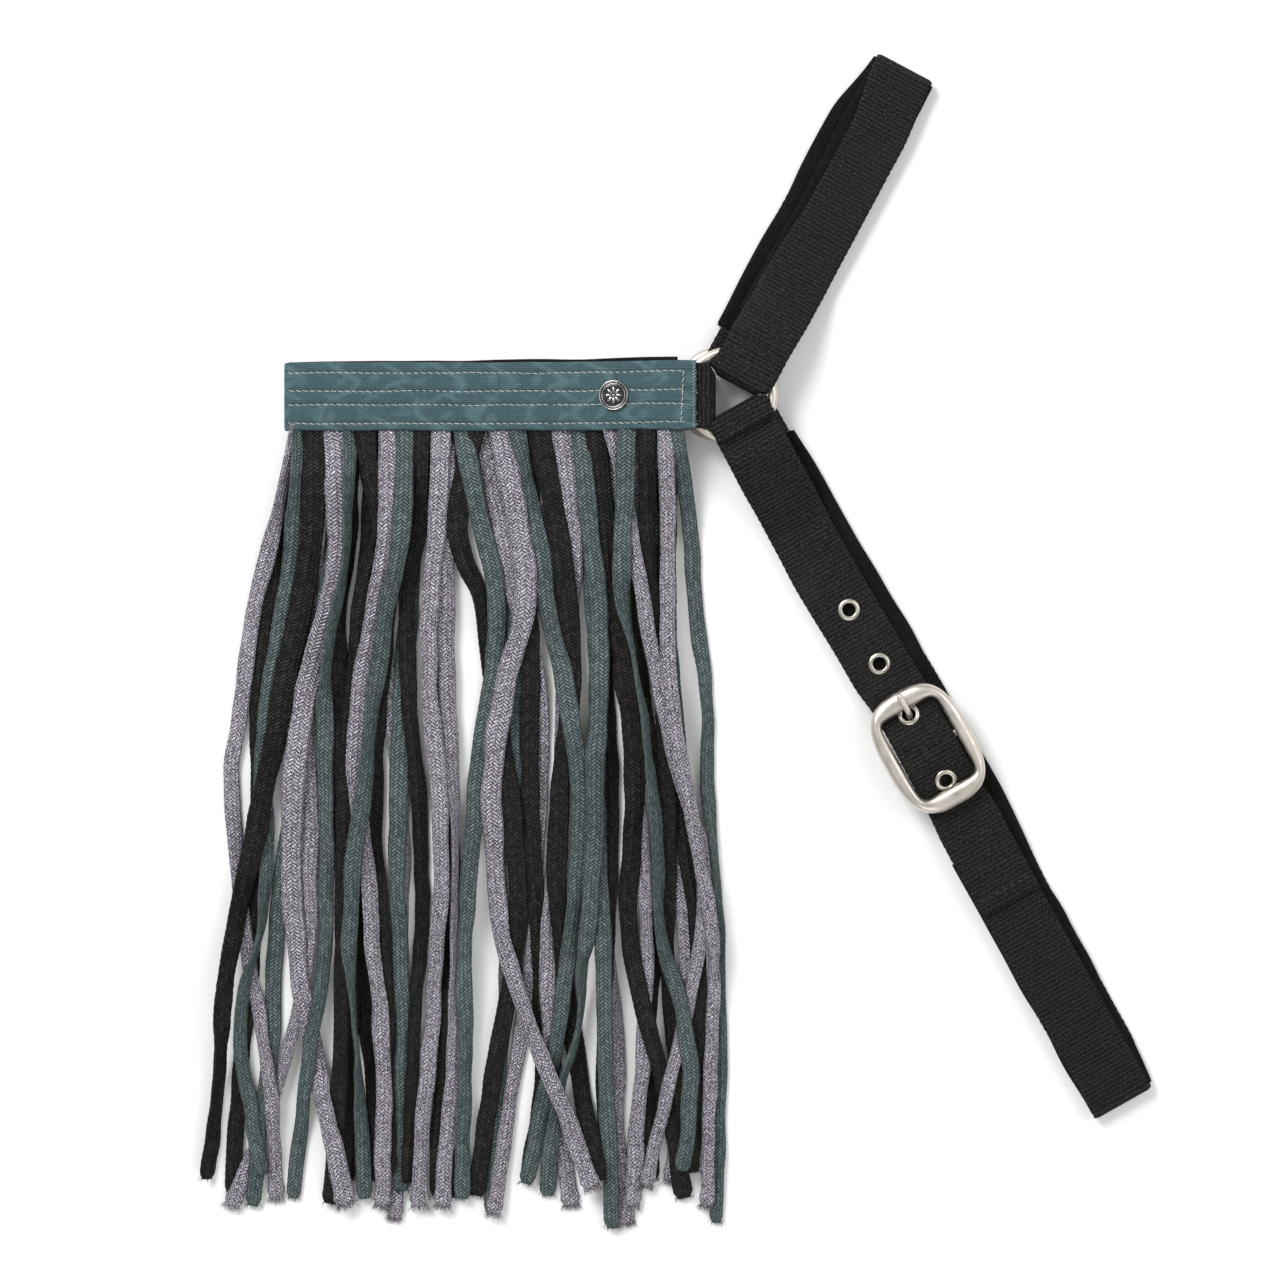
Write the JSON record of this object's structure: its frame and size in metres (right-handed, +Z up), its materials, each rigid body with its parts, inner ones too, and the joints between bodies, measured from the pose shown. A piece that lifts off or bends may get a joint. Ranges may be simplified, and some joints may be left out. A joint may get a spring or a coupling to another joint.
{
  "type": "fly mask",
  "caption": "Horse fly mask: a fabric browband with a long braided cord fringe, a poll strap and a buckled throat strap joined by two steel rings, folded flat.",
  "frame": {"origin": "middle of the straps' and browband's outline on the floor they lie on (the fringe is left out)", "axes": "+Z up from the floor, +X from the browband fold towards the rings, -Y the way the fringe hangs; the mask is folded in half, front half on top"},
  "size_m": [0.3864, 0.4752, 0.0179],
  "materials": {
    "band_cloth": "woven teal cloth with a tone-on-tone ornament",
    "lining": "soft black knit",
    "webbing": "ribbed black nylon webbing",
    "badge_metal": "polished",
    "badge_enamel": "gloss dark enamel",
    "nickel": "satin nickel plate",
    "eyelet_metal": "nickel plate",
    "cord_black": "flat hollow braid",
    "cord_grey": "flat hollow braid with metallic yarn",
    "cord_teal": "flat hollow braid"
  },
  "bodies": {
    "browband": {"browband_cover": "band_cloth", "browband_lining": "lining", "band_tab_front": "webbing", "band_tab_back": "webbing", "badge_rim": "badge_metal", "badge_enamel": "badge_enamel", "poll_loop_front": "webbing", "poll_loop_back": "webbing", "throat_loop_front": "webbing", "throat_loop_back": "webbing"},
    "front_ring": {"ring_front": "nickel"},
    "back_ring": {"ring_back": "nickel"},
    "poll_strap": {"poll_webbing": "webbing", "poll_lining": "lining"},
    "throat_strap": {"eyelet_strap": "webbing", "eyelets": "eyelet_metal", "buckle_strap": "webbing", "throat_lining": "lining"},
    "buckle": {"buckle_frame": "nickel"},
    "tongue": {"buckle_tongue": "nickel"},
    "fringe": {"strand_01_grey": "cord_grey", "strand_02_teal": "cord_teal", "strand_03_black": "cord_black", "strand_04_grey": "cord_grey", "strand_05_teal": "cord_teal", "strand_06_black": "cord_black", "strand_07_grey": "cord_grey", "strand_08_teal": "cord_teal", "strand_09_black": "cord_black", "strand_10_grey": "cord_grey", "strand_11_teal": "cord_teal", "strand_12_black": "cord_black", "strand_13_grey": "cord_grey", "strand_14_teal": "cord_teal", "strand_15_black": "cord_black", "strand_16_grey": "cord_grey", "strand_17_teal": "cord_teal", "strand_18_black": "cord_black", "strand_19_grey": "cord_grey", "strand_20_teal": "cord_teal", "strand_21_black": "cord_black", "strand_22_grey": "cord_grey", "strand_23_teal": "cord_teal", "strand_24_black": "cord_black", "strand_25_grey": "cord_grey", "strand_26_teal": "cord_teal", "strand_27_black": "cord_black", "strand_28_grey": "cord_grey", "strand_29_black": "cord_black", "strand_30_black": "cord_black", "strand_31_grey": "cord_grey", "strand_32_black": "cord_black", "strand_33_grey": "cord_grey", "strand_34_teal": "cord_teal", "strand_35_grey": "cord_grey", "strand_36_black": "cord_black", "strand_37_grey": "cord_grey", "strand_38_black": "cord_black", "strand_39_teal": "cord_teal", "inner_strands": "cord_black"}
  },
  "joints": [
    {"name": "front_ring_turn", "type": "hinge", "parent": "browband", "child": "front_ring", "pos_m": [0.00404, 0.07591, 0.0121], "axis": [0, 0, 1], "continuous": true},
    {"name": "back_ring_turn", "type": "hinge", "parent": "browband", "child": "back_ring", "pos_m": [0.00404, 0.07591, 0.0039], "axis": [0, 0, 1], "continuous": true},
    {"name": "poll_strap_lift", "type": "hinge", "parent": "browband", "child": "poll_strap", "pos_m": [0.01521, 0.09692, 0.0161], "axis": [0.8829, -0.4695, 0], "range_deg": [0, 80]},
    {"name": "throat_strap_lift", "type": "hinge", "parent": "browband", "child": "throat_strap", "pos_m": [0.01288, 0.06023, 0.01785], "axis": [-0.8712, -0.4909, 0], "range_deg": [0, 80]},
    {"name": "buckle_tilt", "type": "hinge", "parent": "throat_strap", "child": "buckle", "pos_m": [0.08391, -0.06584, 0.0078], "axis": [-0.8712, -0.4909, 0], "range_deg": [-2, 2]},
    {"name": "tongue_lift", "type": "hinge", "parent": "buckle", "child": "tongue", "pos_m": [0.08391, -0.06584, 0.0078], "axis": [0.8712, 0.4909, 0], "range_deg": [0, 2]},
    {"name": "fringe_lift", "type": "hinge", "parent": "browband", "child": "fringe", "pos_m": [-0.0865, 0.0614, 0.0178], "axis": [-1, 0, 0], "range_deg": [0, 80]}
  ]
}
